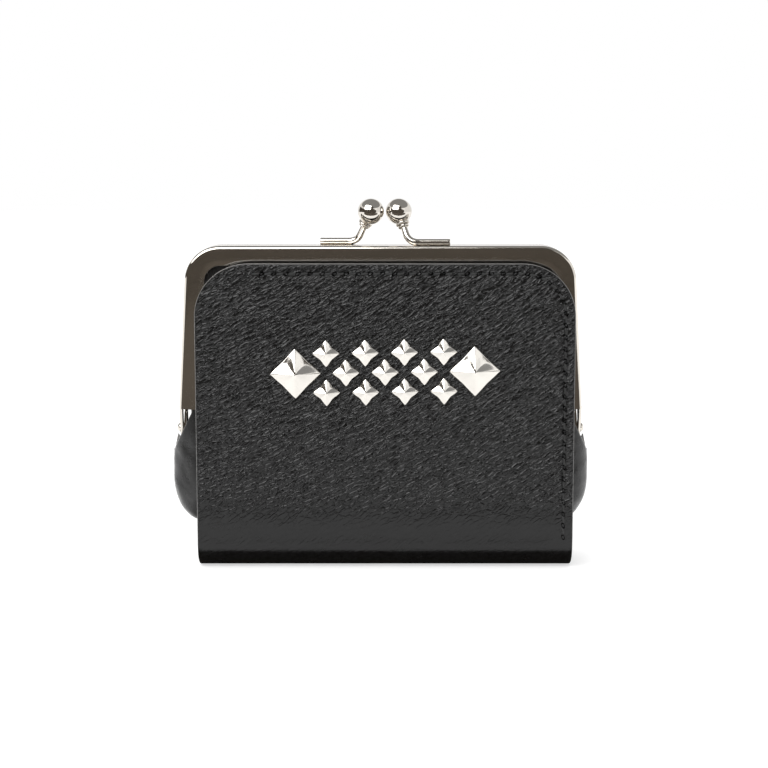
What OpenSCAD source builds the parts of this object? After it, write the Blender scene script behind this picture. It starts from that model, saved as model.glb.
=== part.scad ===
// Studded bifold wallet with a kiss-lock coin purse between its two covers.
// It stands on its fold: X runs across, the studded cover faces -Y and +Z is up.
// All sizes are millimetres. The origin is the centre of the bounding box's bottom.
// Inside the modules y = 0 is the plane where the two frame halves meet, and
// place() moves each finished piece to the part's own origin.

/* [Cover] */
// Width of the outer leather
cover_w = 100; // [97:0.5:101]
// Height of the closed cover
cover_h = 81.5; // [79:0.5:83]
// Thickness of the outer leather
leather_t = 1.4; // [1.2:0.1:1.4]
// Radius of the two free corners of the cover
cover_corner_r = 14; // [9:0.5:16]
// How far the cover is sewn on to the right of the frame
cover_shift = 1.2; // [0:0.1:1.5]

/* [Fold] */
// Outer radius of the bend at the front and at the back of the fold
fold_r = 7; // [6:0.5:8]
// Distance from the frame's middle plane to the back of the lower cover
back_depth = 11; // [10.8:0.1:11.5]
// Radius of the long curve from the lower back cover up to the frame
back_curve_r = 36.4; // [36:0.2:38]
// Height where the long curve begins
back_curve_z = 20; // [19:0.5:21]

/* [Pockets] */
// Thickness of the lining leather and of each card slot
lining_t = 0.7; // [0.5:0.1:0.7]
// Room for banknotes behind the outer leather
bill_gap = 1; // [0.8:0.1:1.1]
// Distance from one card slot's edge to the next
card_step = 10; // [8:0.5:12]
// Gap between the closed cover and the frame
cover_gap = 0.8; // [0.6:0.1:1]

/* [Coin purse] */
// Widest part of the purse
purse_w = 113; // [110:0.2:114]
// Height of the bottom of the purse above the table
purse_z = 10.2; // [9:0.2:10.6]
// Radius of the purse's two lower corners
purse_corner_r = 9.5; // [8:0.5:11]
// Thickness of the coin lining
coin_lining_t = 0.5; // [0.4:0.1:0.5]

/* [Frame] */
// Width over the hinges
frame_w = 107.6; // [106:0.2:108]
// Height of the frame's top above the table
frame_top = 85.8; // [84:0.2:87]
// Depth of one half of the frame
frame_half_d = 5; // [4.8:0.1:5]
// Width of the channel that grips the leather
frame_face = 5.3; // [4.6:0.1:5.4]
// Thickness of the frame's metal
frame_t = 0.8; // [0.7:0.1:0.9]
// Radius of the frame's shoulders
frame_corner_r = 9.5; // [8:0.5:11]
// Outward lean of the legs in degrees
splay = 3.2; // [2.6:0.1:3.6]
// Height of the hinge rivets
hinge_z = 36.6; // [36:0.1:37]
// Height of the lower ends of the channels
leg_low = 42.3; // [41.8:0.1:43]

/* [Clasp] */
// Radius of the two clasp balls
ball_r = 3.5; // [3.2:0.1:3.6]
// Height of the balls' centres
ball_z = 94.6; // [94.2:0.1:95.4]
// Distance between the balls' centres
ball_pitch = 7.4; // [7.35:0.05:7.8]
// Place of the clasp's middle
clasp_x = 1.15; // [-3:0.05:3]
// Radius of the clasp's rods
rod_r = 0.9; // [0.8:0.05:1]
// Distance across from a ball's centre to the end of its foot
arm_reach = 13.6; // [11:0.1:16]

/* [Studs] */
// Distance between stud columns
stud_pitch_x = 10.3; // [9.5:0.1:11]
// Distance between stud rows
stud_pitch_z = 5.2; // [5:0.1:5.6]
// Height of the middle row above the table
stud_z = 53; // [48:0.1:57]
// Place of a large stud from the middle of the cover
large_stud_x = 23.6; // [22.5:0.1:25]
// Tilt of the whole stud pattern in degrees
stud_tilt = 0.8; // [0:0.1:2]
// Distance from the middle of a small stud to its tip
small_stud_tip = 3.6; // [3.2:0.1:3.8]
// Height of a small stud
small_stud_h = 1.8; // [1.4:0.1:2]
// Distance from the middle of a large stud to its tip
large_stud_tip = 6.75; // [6.2:0.05:7]
// Height of a large stud
large_stud_h = 3; // [2.4:0.1:3.2]

/* [Stitching] */
// Distance from the cover's edge to the thread
stitch_inset = 2.6; // [2.2:0.1:3]
// Distance between stitches
stitch_pitch = 3.15; // [2.8:0.05:3.5]

/* [Hidden] */
$fn = 64;

FRONT = -1;
BACK = 1;
frame_clear = 0.05;
cord_t = 1.4;
cord_w = 2;
groove_slack = 1.2;

// Layers of the closed cover, from its inner face out to the front
card_slots = 3;
cover_inner_y = -(frame_half_d + cover_gap);
panel_inner_y = cover_inner_y - card_slots * lining_t;
panel_outer_y = panel_inner_y - lining_t;
leather_inner_y = panel_outer_y - bill_gap;
front_y = leather_inner_y - leather_t;
y_shift = (large_stud_h - front_y - back_depth) / 2;

// Half of the flat base that the fold leaves between its two bends, on the front side
flat_half = -front_y - fold_r;
cover_low = fold_r + 0.5;
fold_front_top = fold_r - 0.2;
fold_back_top = 33;
back_low = hinge_z + 7.5;

// Depths of the layers below the surface of the fold
lining_depth = leather_t + bill_gap;
purse_depth = lining_depth + lining_t;
coin_depth = purse_depth + leather_t;

// Groove of each channel: leather, coin lining and packing cord fill it
groove_out = frame_half_d - frame_t;
wall_in = groove_out - leather_t;
coin_in = wall_in - coin_lining_t;
cord_in = coin_in - cord_t;
wall_inset = frame_t + groove_slack;
wall_low = leg_low + 0.6;

// Centre of a shoulder and the point where the leg leaves it
tangent_z = frame_top - frame_corner_r + frame_corner_r * sin(splay);
tangent_x = frame_w / 2 - (tangent_z - leg_low) * tan(splay);
shoulder_x = tangent_x - frame_corner_r * cos(splay);
shoulder_z = frame_top - frame_corner_r;

ear_x = frame_w / 2;
ear_r = 2.6;
ear_gap = 0.1;
rivet_r = 0.8;
rivet_clear = 0.08;
rivet_head_r = 1.2;
rivet_head_t = 1.1;

foot_y = 3;
ball_lean = 0.4;
prong_t = 0.4;
prong_w = 1.1;
prong_foot = 1.5;
stud_skirt = 0.5;

leather_col = [0.09, 0.09, 0.09];
purse_col = [0.14, 0.14, 0.145];
lining_col = [0.2, 0.2, 0.21];
fabric_col = [0.3, 0.28, 0.26];
metal_col = [0.78, 0.75, 0.7];
paper_col = [0.72, 0.6, 0.42];
thread_col = [0.05, 0.05, 0.05];

// ---------------------------------------------------------------- helpers

module place() {
    translate([0, y_shift, 0]) children();
}

// A flat outline in X and Z, made solid from y0 to y1
module slab(y0, y1) {
    translate([0, y1, 0]) rotate([90, 0, 0]) linear_extrude(y1 - y0) children();
}

// A profile in Y and Z, made solid from x0 to x1
module bar(x0, x1) {
    translate([x0, 0, 0]) rotate([90, 0, 90]) linear_extrude(x1 - x0) children();
}

// The frame's filled outline, set in from its outer edge, down to z_low
module arch_2d(inset, z_low) {
    r = frame_corner_r - inset;
    side_x = shoulder_x + r * cos(splay);
    side_z = shoulder_z + r * sin(splay);
    foot_x = side_x + (side_z - z_low) * tan(splay);
    for (side = [-1, 1]) translate([side * shoulder_x, shoulder_z]) circle(r);
    translate([-shoulder_x, z_low]) square([2 * shoulder_x, shoulder_z + r - z_low]);
    polygon([[-foot_x, z_low], [foot_x, z_low], [side_x, side_z], [-side_x, side_z]]);
}

// The cover's outline, set in from its edge, down to z_low
module cover_2d(inset, z_low) {
    half = cover_w / 2 - inset;
    top = cover_h - inset;
    r = cover_corner_r - inset;
    translate([cover_shift, 0]) {
        translate([-half, z_low]) square([2 * half, top - r - z_low]);
        translate([r - half, top - r - 1]) square([2 * (half - r), r + 1]);
        for (side = [-1, 1]) translate([side * (half - r), top - r]) circle(r);
    }
}

// Everything that lies deeper than depth below the outer surface of the fold
module fold_2d(depth) {
    curve_y = back_depth - back_curve_r;
    for (side = [FRONT, BACK])
        translate([side < 0 ? -flat_half : back_depth - fold_r, fold_r]) circle(fold_r - depth);
    translate([-flat_half, depth])
        square([flat_half + back_depth - fold_r, fold_r - depth]);
    translate([front_y + depth, fold_r])
        square([back_depth - front_y - 2 * depth, back_curve_z - fold_r]);
    intersection() {
        translate([curve_y, back_curve_z]) circle(back_curve_r - depth, $fn = 128);
        translate([front_y + depth, back_curve_z]) square([3 * back_depth, back_curve_z]);
    }
}

// One layer of the fold, cut off where it meets the two moving covers
module fold_layer_2d(depth, thickness) {
    difference() {
        fold_2d(depth);
        fold_2d(depth + thickness);
        translate([front_y - 1, fold_front_top]) square([-front_y + 1, 2 * back_curve_r]);
        translate([-1, fold_back_top]) square([3 * back_depth, 2 * back_curve_r]);
    }
}

// The bag below the frame: the sides end in a slit that leaves the hinge free
module bag_2d(inset, slit) {
    half = purse_w / 2 - inset;
    r = purse_corner_r - inset;
    low = purse_z + inset;
    corner_z = purse_z + purse_corner_r;
    right_side = concat(
        [[half - r, low], [half - r, corner_z], [half, corner_z], [half, corner_z + 7.5]],
        [for (p = slit) [p[0] - inset, p[1]]]
    );
    left_side = [for (i = [len(right_side) - 1:-1:0]) [-right_side[i][0], right_side[i][1]]];
    for (side = [-1, 1]) translate([side * (half - r), corner_z]) circle(r);
    polygon(concat(right_side, left_side));
}

// Slit edges, from the outside in: the front one runs up to the channel's end
slit_top = leg_low + 0.8;
front_slit = [[55.6, 31.6], [52.6, 35.4], [49.6, slit_top]];
back_slit = [[55.4, 34], [54, 31.2], [50, 32.2], [47.4, 35.6]];

// A layer of the wall that hangs in the front half of the frame
module front_wall(y0, y1, inset) {
    slab(y0, y1) {
        arch_2d(wall_inset, wall_low);
        bag_2d(inset, front_slit);
    }
}

// A layer of the lower back wall, at a depth below the fold's surface
module back_wall_lower(depth, thickness, inset) {
    intersection() {
        bar(-purse_w / 2, purse_w / 2) difference() {
            fold_2d(depth);
            fold_2d(depth + thickness);
            translate([front_y, 0]) square([-front_y, 3 * back_curve_z]);
        }
        slab(0, 2 * back_depth) bag_2d(inset, back_slit);
    }
}

// ------------------------------------------------- outer leather and lining

module outer_fold() {
    color(leather_col) place()
        bar(cover_shift - cover_w / 2, cover_shift + cover_w / 2) fold_layer_2d(0, leather_t);
}

module fold_lining() {
    color(lining_col) place()
        bar(cover_shift - cover_w / 2 + 1, cover_shift + cover_w / 2)
            fold_layer_2d(lining_depth, lining_t);
}

module back_cover_upper() {
    color(leather_col) place()
        slab(frame_half_d + lining_t, frame_half_d + lining_t + leather_t) cover_2d(0, back_low);
}

module back_lining_upper() {
    color(lining_col) place()
        slab(frame_half_d, frame_half_d + lining_t) cover_2d(1, back_low);
}

// ------------------------------------------------------------- coin purse

module purse_front_wall() {
    color(purse_col) place() front_wall(-groove_out, -wall_in, 0);
}

module coin_lining_front() {
    color(fabric_col) place() front_wall(-wall_in, -coin_in, leather_t);
}

module purse_back_lower() {
    color(purse_col) place() back_wall_lower(purse_depth, leather_t, 0);
}

module coin_lining_back_lower() {
    color(fabric_col) place() back_wall_lower(coin_depth, coin_lining_t, leather_t);
}

module purse_back_upper() {
    color(purse_col) place() slab(wall_in, groove_out) arch_2d(wall_inset, wall_low);
}

module coin_lining_back_upper() {
    color(fabric_col) place() slab(coin_in, wall_in) arch_2d(wall_inset, wall_low);
}

// The strip that joins the front wall to the back wall round the sides and bottom
module purse_gusset() {
    gusset_t = leather_t - 0.2;
    gusset_top = 30.5;
    color(purse_col) place() intersection() {
        slab(-wall_in, back_depth) difference() {
            bag_2d(0, front_slit);
            bag_2d(gusset_t, front_slit);
            translate([-purse_w, gusset_top]) square([2 * purse_w, purse_w]);
            translate([-shoulder_x, purse_corner_r + purse_z]) square([2 * shoulder_x, purse_w]);
        }
        bar(-purse_w / 2, purse_w / 2) fold_2d(coin_depth);
    }
}

// ------------------------------------------------------------------ frame

// One ear: a plate with the rivet's hole, on the inside or the outside
module ear(half, x0, x1, hole_r) {
    bar(x0, x1) difference() {
        union() {
            translate([0, hinge_z]) circle(ear_r);
            polygon([
                [half * (frame_half_d - 0.4), leg_low + 0.8], [half * 0.3, leg_low + 0.8],
                [half * 0.3, leg_low - 0.6], [-half * ear_r, hinge_z], [half * ear_r, hinge_z]
            ]);
        }
        translate([0, hinge_z]) circle(hole_r);
    }
}

// A bent channel that is open on the inside of the arch
module channel(half) {
    near = min(half * frame_clear, half * frame_half_d);
    far = max(half * frame_clear, half * frame_half_d);
    difference() {
        slab(near, far) difference() {
            arch_2d(0, leg_low);
            arch_2d(frame_face, leg_low - 1);
        }
        slab(min(half * cord_in, half * groove_out), max(half * cord_in, half * groove_out))
            arch_2d(frame_t, leg_low - 1);
    }
}

module front_frame() {
    color(metal_col) place() {
        channel(FRONT);
        for (side = [-1, 1]) scale([side, 1, 1]) ear(FRONT, ear_x - frame_t, ear_x, rivet_r);
    }
}

module back_frame() {
    ear_out = ear_x - frame_t - ear_gap;
    joggle_top = leg_low + 2.6;
    color(metal_col) place() {
        channel(BACK);
        for (side = [-1, 1]) scale([side, 1, 1]) {
            ear(BACK, ear_out - frame_t, ear_out, rivet_r + rivet_clear);
            translate([ear_out - frame_t, cord_in, leg_low])
                cube([frame_t + ear_gap + 0.3, groove_out - cord_in, joggle_top - leg_low]);
        }
    }
}

// A band round the inside of the groove that wedges the leather
module packing_cord(half) {
    color(paper_col) place()
        slab(min(half * cord_in, half * coin_in), max(half * cord_in, half * coin_in))
            difference() {
                arch_2d(wall_inset, wall_low + 2.2);
                arch_2d(wall_inset + cord_w, wall_low);
            }
}

module front_packing_cord() {
    packing_cord(FRONT);
}

module back_packing_cord() {
    packing_cord(BACK);
}

// The pin through both ears: a domed head outside and a small one inside
module rivet(side) {
    tail_x = ear_x - 2 * frame_t - ear_gap;
    color(metal_col) place() translate([0, 0, hinge_z]) rotate([0, side * 90, 0]) {
        translate([0, 0, tail_x - 0.5]) cylinder(h = 0.45, r = rivet_head_r);
        translate([0, 0, tail_x - 0.2]) cylinder(h = ear_x + 0.3 - tail_x, r = rivet_r);
        translate([0, 0, ear_x]) cylinder(h = 0.4, r = rivet_head_r);
        translate([0, 0, ear_x + 0.4]) cylinder(h = rivet_head_t - 0.4, r1 = rivet_head_r, r2 = 0.6);
    }
}

module rivet_left() {
    rivet(-1);
}

module rivet_right() {
    rivet(1);
}

// ------------------------------------------------------------------ clasp

// A bent rod swells a little, and the straight stretches run into the bend by an angle
arm_bend_r = 3;
bend_rod_r = rod_r + 0.04;
bend_lap = 3;
foot_z = frame_top + rod_r - 0.05;
rise = norm([ball_z - foot_z, foot_y + ball_lean]);
lean_angle = atan2(foot_y + ball_lean, ball_z - foot_z);
ball_seat = ball_r * 0.92;

// The front arm stands steeper than the back one
function neck_angle(half) = half == FRONT ? 73 : 67;
function neck_length(half) =
    (rise - arm_bend_r * (1 - cos(neck_angle(half)))) / sin(neck_angle(half));
function bend_start(half) =
    neck_length(half) * cos(neck_angle(half)) + arm_bend_r * sin(neck_angle(half));

// Puts the arm's own plane, where the ball is above the origin, in place.
// The front half carries the right ball, and the back half the left one.
module clasp_plane(half) {
    color(metal_col) place()
        translate([clasp_x - half * ball_pitch / 2, half * foot_y, foot_z])
            rotate([half * lean_angle, 0, 0]) scale([-half, 1, 1]) children();
}

// Moves to the ball's centre, with +Z along the neck away from the ball
module neck(half) {
    translate([0, 0, rise]) rotate([0, 90 + neck_angle(half), 0]) children();
}

module clasp_arm(half) {
    difference() {
        clasp_plane(half) {
            translate([bend_start(half), 0, 0]) rotate([0, 90, 0])
                cylinder(h = arm_reach - bend_start(half), r = rod_r);
            translate([bend_start(half), 0, arm_bend_r]) rotate([90, 0, 0])
                rotate([0, 0, 270 - neck_angle(half) - bend_lap])
                    rotate_extrude(angle = neck_angle(half) + 2 * bend_lap)
                        translate([arm_bend_r, 0]) circle(bend_rod_r);
            neck(half) {
                cylinder(h = neck_length(half), r = rod_r);
                translate([0, 0, ball_seat]) cylinder(h = 0.8, r = 1.9);
                translate([0, 0, ball_seat + 0.8]) cylinder(h = 0.7, r = 1.45);
            }
        }
        place() {
            translate([-frame_w / 2, -frame_half_d, frame_top - 3]) cube([frame_w, 2 * frame_half_d, 3]);
            clasp_ball_space(half);
        }
    }
}

// The room that the ball takes up, cut from the end of the arm
module clasp_ball_space(half) {
    translate([clasp_x - half * ball_pitch / 2, half * foot_y, foot_z])
        rotate([half * lean_angle, 0, 0]) scale([-half, 1, 1]) neck(half)
            translate([0, 0, ball_seat - 2 * ball_r]) cylinder(h = 2 * ball_r, r = ball_r);
}

module clasp_ball(half) {
    clasp_plane(half) neck(half) difference() {
        sphere(ball_r);
        translate([0, 0, ball_seat]) cylinder(h = ball_r, r = ball_r);
    }
}

module front_clasp_arm() {
    clasp_arm(FRONT);
}

module front_clasp_ball() {
    clasp_ball(FRONT);
}

module back_clasp_arm() {
    clasp_arm(BACK);
}

module back_clasp_ball() {
    clasp_ball(BACK);
}

// ------------------------------------------------------------- front cover

// Places children at every small stud's middle, on the cover's front
module at_small_studs() {
    for (row = [-1, 0, 1]) {
        count = row == 0 ? 3 : 4;
        for (i = [0:count - 1]) at_stud((i - (count - 1) / 2) * stud_pitch_x, row * stud_pitch_z)
            children();
    }
}

module at_large_studs() {
    for (side = [-1, 1]) at_stud(side * large_stud_x, 0) children();
}

module at_stud(x, z) {
    translate([cover_shift, front_y, stud_z]) rotate([0, -stud_tilt, 0]) translate([x, 0, z])
        rotate([90, 0, 0]) children();
}

// The two slots that the prongs go through
module prong_slots(tip) {
    for (side = [-1, 1]) translate([side * prong_x(tip), 0, -leather_t / 2])
        cube([prong_t, prong_w, 2 * leather_t], center = true);
}

function prong_x(tip) = tip * 0.62;

// A four-sided pyramid with hollow sides, a low skirt and two bent prongs
module stud(tip, height) {
    waist = tip * 0.66;
    outline = [for (i = [0:7]) (i % 2 == 0 ? tip : waist) * [cos(45 * i), sin(45 * i)]];
    linear_extrude(stud_skirt) polygon(outline);
    translate([0, 0, stud_skirt]) linear_extrude(height - stud_skirt, scale = 0.06) polygon(outline);
    for (side = [-1, 1]) {
        translate([side * prong_x(tip), 0, -leather_t / 2])
            cube([prong_t, prong_w, leather_t], center = true);
        translate([side * (prong_x(tip) - prong_foot / 2 + prong_t / 2), 0, -leather_t - prong_t / 2])
            cube([prong_foot, prong_w, prong_t], center = true);
    }
}

module small_studs() {
    color(metal_col) place() at_small_studs() stud(small_stud_tip, small_stud_h);
}

module large_studs() {
    color(metal_col) place() at_large_studs() stud(large_stud_tip, large_stud_h);
}

module cover_leather() {
    color(leather_col) place() difference() {
        slab(front_y, leather_inner_y) cover_2d(0, cover_low);
        at_small_studs() prong_slots(small_stud_tip);
        at_large_studs() prong_slots(large_stud_tip);
    }
}

// The panel behind the banknotes: it meets the leather along the sewn edges only
module bill_pocket_panel() {
    seam_w = 4;
    pocket_low = cover_low + seam_w;
    color(lining_col) place() difference() {
        slab(leather_inner_y, panel_inner_y) cover_2d(0, cover_low);
        slab(leather_inner_y, panel_outer_y) {
            cover_2d(seam_w, pocket_low);
            translate([-cover_w, pocket_low]) square([cover_w, cover_h - seam_w - pocket_low]);
        }
    }
}

// One card slot, counted from the panel: it opens towards -X
module card_slot(index) {
    margin = 3;
    edge_x = cover_shift - cover_w / 2 + 12 + index * card_step;
    inner = panel_inner_y + (index + 1) * lining_t;
    color(lining_col) place() slab(inner - lining_t, inner) intersection() {
        cover_2d(margin, cover_low + margin);
        translate([edge_x, 0]) square([cover_w, cover_h]);
    }
}

module card_slot_rear() {
    card_slot(0);
}

module card_slot_middle() {
    card_slot(1);
}

module card_slot_front() {
    card_slot(2);
}

// The seam runs along the top, round the right corner and down the right edge
seam_r = cover_corner_r - stitch_inset;
seam_corner_x = cover_shift + cover_w / 2 - cover_corner_r;
seam_corner_z = cover_h - cover_corner_r;
seam_start_x = cover_shift - 35.3;
seam_top_run = seam_corner_x - seam_start_x;
seam_corner_run = seam_r * PI / 2;
seam_side_run = seam_corner_z - cover_low - 1.5;
seam_length = seam_top_run + seam_corner_run + seam_side_run;

// Angle of the seam at a distance along it: 0 on the top edge, 90 on the right
function seam_angle(s) = min(90, max(0, (s - seam_top_run) / seam_corner_run * 90));
function seam_x(s) = min(s, seam_top_run) + seam_start_x + seam_r * sin(seam_angle(s));
function seam_z(s) = seam_corner_z + seam_r * cos(seam_angle(s))
    - max(0, s - seam_top_run - seam_corner_run);

module cover_stitching() {
    thread_r = 0.35;
    stitch_length = 2.3;
    color(thread_col) place()
        for (s = [stitch_pitch / 2:stitch_pitch:seam_length])
            translate([seam_x(s), front_y, seam_z(s)]) rotate([0, seam_angle(s), 0])
                intersection() {
                    rotate([0, 90, 0]) cylinder(h = stitch_length, r = thread_r, center = true);
                    translate([0, -thread_r, 0])
                        cube([2 * stitch_length, 2 * thread_r, 2 * thread_r], center = true);
                }
}

outer_fold();
fold_lining();
purse_front_wall();
purse_back_lower();
purse_gusset();
coin_lining_front();
coin_lining_back_lower();
front_frame();
front_packing_cord();
front_clasp_arm();
front_clasp_ball();
rivet_left();
rivet_right();
back_frame();
back_packing_cord();
back_clasp_arm();
back_clasp_ball();
purse_back_upper();
coin_lining_back_upper();
back_cover_upper();
back_lining_upper();
cover_leather();
bill_pocket_panel();
card_slot_rear();
card_slot_middle();
card_slot_front();
small_studs();
large_studs();
cover_stitching();
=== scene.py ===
import math

import bpy
import numpy as np
from mathutils import Matrix, Vector
from mathutils.geometry import delaunay_2d_cdt


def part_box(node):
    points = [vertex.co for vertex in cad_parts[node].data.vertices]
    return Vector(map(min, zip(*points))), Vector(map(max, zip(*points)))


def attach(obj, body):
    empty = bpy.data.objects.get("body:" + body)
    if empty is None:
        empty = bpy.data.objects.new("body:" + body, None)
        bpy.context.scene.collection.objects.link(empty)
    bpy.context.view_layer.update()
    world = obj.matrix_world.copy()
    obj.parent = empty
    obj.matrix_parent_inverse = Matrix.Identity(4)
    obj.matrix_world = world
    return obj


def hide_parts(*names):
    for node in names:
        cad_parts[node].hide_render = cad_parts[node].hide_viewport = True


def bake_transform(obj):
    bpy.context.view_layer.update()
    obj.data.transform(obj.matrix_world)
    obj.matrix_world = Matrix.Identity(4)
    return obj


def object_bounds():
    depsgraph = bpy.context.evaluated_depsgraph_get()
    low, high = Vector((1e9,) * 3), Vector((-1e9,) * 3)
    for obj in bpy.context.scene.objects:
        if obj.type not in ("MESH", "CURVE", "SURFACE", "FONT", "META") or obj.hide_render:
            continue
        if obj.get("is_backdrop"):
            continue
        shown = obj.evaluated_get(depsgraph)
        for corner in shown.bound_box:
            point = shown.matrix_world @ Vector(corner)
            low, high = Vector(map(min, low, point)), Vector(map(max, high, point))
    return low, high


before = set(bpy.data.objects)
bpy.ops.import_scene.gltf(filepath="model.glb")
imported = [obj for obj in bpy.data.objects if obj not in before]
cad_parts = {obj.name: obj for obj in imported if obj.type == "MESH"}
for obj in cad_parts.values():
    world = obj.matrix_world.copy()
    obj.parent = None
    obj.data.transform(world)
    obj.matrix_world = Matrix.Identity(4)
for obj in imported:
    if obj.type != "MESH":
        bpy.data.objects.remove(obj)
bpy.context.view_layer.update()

# Lengths of the wallet are in millimetres, and those of the studio in metres. As in the CAD
# source, y = 0 is the plane where the two halves of the clasp frame meet; Y_SHIFT moves it
# to its place in the row frame.
MM = 0.001
FRONT, BACK = -1, 1

# Leather covers: one strip from the front cover round the base to the back cover
COVER_HALF = 50.0
COVER_X = 1.2
COVER_TOP = 81.5
COVER_R = 14.0
COVER_FRONT_Y = -11.0
LEATHER_T = 1.4
LINING_T = 0.7
LINING_DEPTH = 2.4
BACK_Y = 11.0
FOLD_R = 7.0
FLAT_Y = 4.0
BASE_START_Y = 2.0
BACK_CURVE_R = 36.4
BACK_CURVE_Z = 20.0
BACK_BEND_LOW = 31.0
BACK_BEND_HIGH = 45.0
UPPER_Z = 44.0
UPPER_Y = 7.1

# Clasp frame: an arch with round shoulders and legs that lean out by SPLAY
FRAME_TOP = 85.8
FRAME_D = 5.0
FRAME_FACE = 5.3
FRAME_T = 0.8
FRAME_R = 9.5
SHOULDER_X = 42.38
SHOULDER_Z = FRAME_TOP - FRAME_R
SPLAY = math.radians(3.2)
LEG_LOW = 42.3
HINGE_Z = 36.6
EAR_X = 53.8
GROOVE_INSET = 2.0

# Coin purse
BAG_HALF = 56.5
BAG_LOW = 10.4
BAG_CORNER_X, BAG_CORNER_Z = 8.5, 12.5
SEAM_Y = 1.85

Y_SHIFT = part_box("cover_leather")[0].y / MM - COVER_FRONT_Y


# ---- mesh helpers ----


def row_frame(points):
    """Points in millimetres about the frame's middle plane, as row-frame metres."""
    return (np.asarray(points, float) + [0.0, Y_SHIFT, 0.0]) * MM


def new_mesh(name, points, faces, materials, face_material=None, uv=None, smooth=True):
    mesh = bpy.data.meshes.new(name)
    mesh.from_pydata(row_frame(points).tolist(), [], [list(map(int, f)) for f in faces])
    for material in materials:
        mesh.materials.append(material)
    if face_material is not None:
        mesh.polygons.foreach_set("material_index", np.asarray(face_material, np.int32))
    if uv is not None:
        index = np.zeros(len(mesh.loops), np.int32)
        mesh.loops.foreach_get("vertex_index", index)
        layer = mesh.uv_layers.new(name="grain")
        layer.data.foreach_set("uv", np.asarray(uv, np.float32)[index].ravel())
    mesh.polygons.foreach_set("use_smooth", [smooth] * len(mesh.polygons))
    mesh.update()
    obj = bpy.data.objects.new(name, mesh)
    bpy.context.scene.collection.objects.link(obj)
    return obj


def settle(obj, slot, body, *nodes, bend=None):
    """Hides the CAD nodes that a piece replaces and hangs it on the body it rides on; with
    bend, only its place is baked in. The slot is not used."""
    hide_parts(*nodes)
    if bend:
        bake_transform(obj)
    else:
        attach(obj, body)
    return obj


def bell(x, centre, width):
    """1 at the centre, falling off smoothly over the width."""
    return np.exp(-((x - centre) / width) ** 2)


def inward_of(tangent):
    """Unit directions to the left of tangents: inwards, on an anticlockwise path."""
    tangent = tangent / np.linalg.norm(tangent, axis=1)[:, None]
    return np.stack([-tangent[:, 1], tangent[:, 0]], 1)


def ring_faces(rings, count, first_cap=True):
    """Faces between rings of count points each, then over the first and last ring."""
    faces = []
    for k in range(rings - 1):
        for j in range(count):
            a, b = k * count + j, k * count + (j + 1) % count
            faces.append((a, b, b + count, a + count))
    if first_cap:
        faces.append(tuple(range(count))[::-1])
    faces.append(tuple((rings - 1) * count + j for j in range(count)))
    return faces


def value_noise(u, v, seed):
    """Smooth noise from -1 to 1 on a lattice of unit cells."""
    table = np.random.default_rng(seed).random((64, 64)) * 2 - 1
    iu, iv = np.floor(u).astype(int), np.floor(v).astype(int)
    fu, fv = u - iu, v - iv
    fu, fv = fu * fu * (3 - 2 * fu), fv * fv * (3 - 2 * fv)
    a, b = table[iu % 64, iv % 64], table[(iu + 1) % 64, iv % 64]
    c, d = table[iu % 64, (iv + 1) % 64], table[(iu + 1) % 64, (iv + 1) % 64]
    return (a * (1 - fu) + b * fu) * (1 - fv) + (c * (1 - fu) + d * fu) * fv


def fractal(u, v, size, seed, octaves=3):
    total, weight = 0.0, 1.0
    for k in range(octaves):
        total = total + weight * value_noise(u / size * 2**k, v / size * 2**k, seed + k)
        weight *= 0.5
    return total / 1.75


def smoothstep(x, low, high):
    t = np.clip((np.asarray(x, float) - low) / (high - low), 0, 1)
    return t * t * (3 - 2 * t)


def resample(points, pitch):
    """A closed outline with points about a pitch apart, corners kept."""
    points = np.asarray(points, float)
    out = []
    for p, q in zip(points, np.roll(points, -1, 0)):
        n = max(1, int(round(np.linalg.norm(q - p) / pitch)))
        out.extend(p + (q - p) * k / n for k in range(n))
    return np.array(out)


def arc(cx, cy, r, start, end, step=0.5):
    """Points round a centre from start to end degrees."""
    n = max(2, int(math.ceil(abs(math.radians(end - start)) * r / step)))
    angles = np.radians(np.linspace(start, end, n + 1))
    return [(cx + r * math.cos(a), cy + r * math.sin(a)) for a in angles]


def outline_distance(points, loop):
    """Distance from each point to a closed outline, positive inside."""
    a, b = loop, np.roll(loop, -1, 0)
    ab = b - a
    out = np.empty(len(points))
    for k in range(0, len(points), 2000):
        p = points[k:k + 2000, None, :]
        t = np.clip(((p - a) * ab).sum(2) / (ab * ab).sum(1), 0, 1)
        near = np.sqrt((((a + ab * t[..., None]) - p) ** 2).sum(2)).min(1)
        cross = ((a[:, 1] > p[..., 1]) != (b[:, 1] > p[..., 1])) & (
            p[..., 0] < a[:, 0] + ab[:, 0] * (p[..., 1] - a[:, 1])
            / np.where(ab[:, 1] == 0, 1e-12, ab[:, 1]))
        out[k:k + 2000] = np.where(cross.sum(1) % 2 == 1, near, -near)
    return out


FILL_RINGS = (0.15, 0.4, 0.8)


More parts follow.
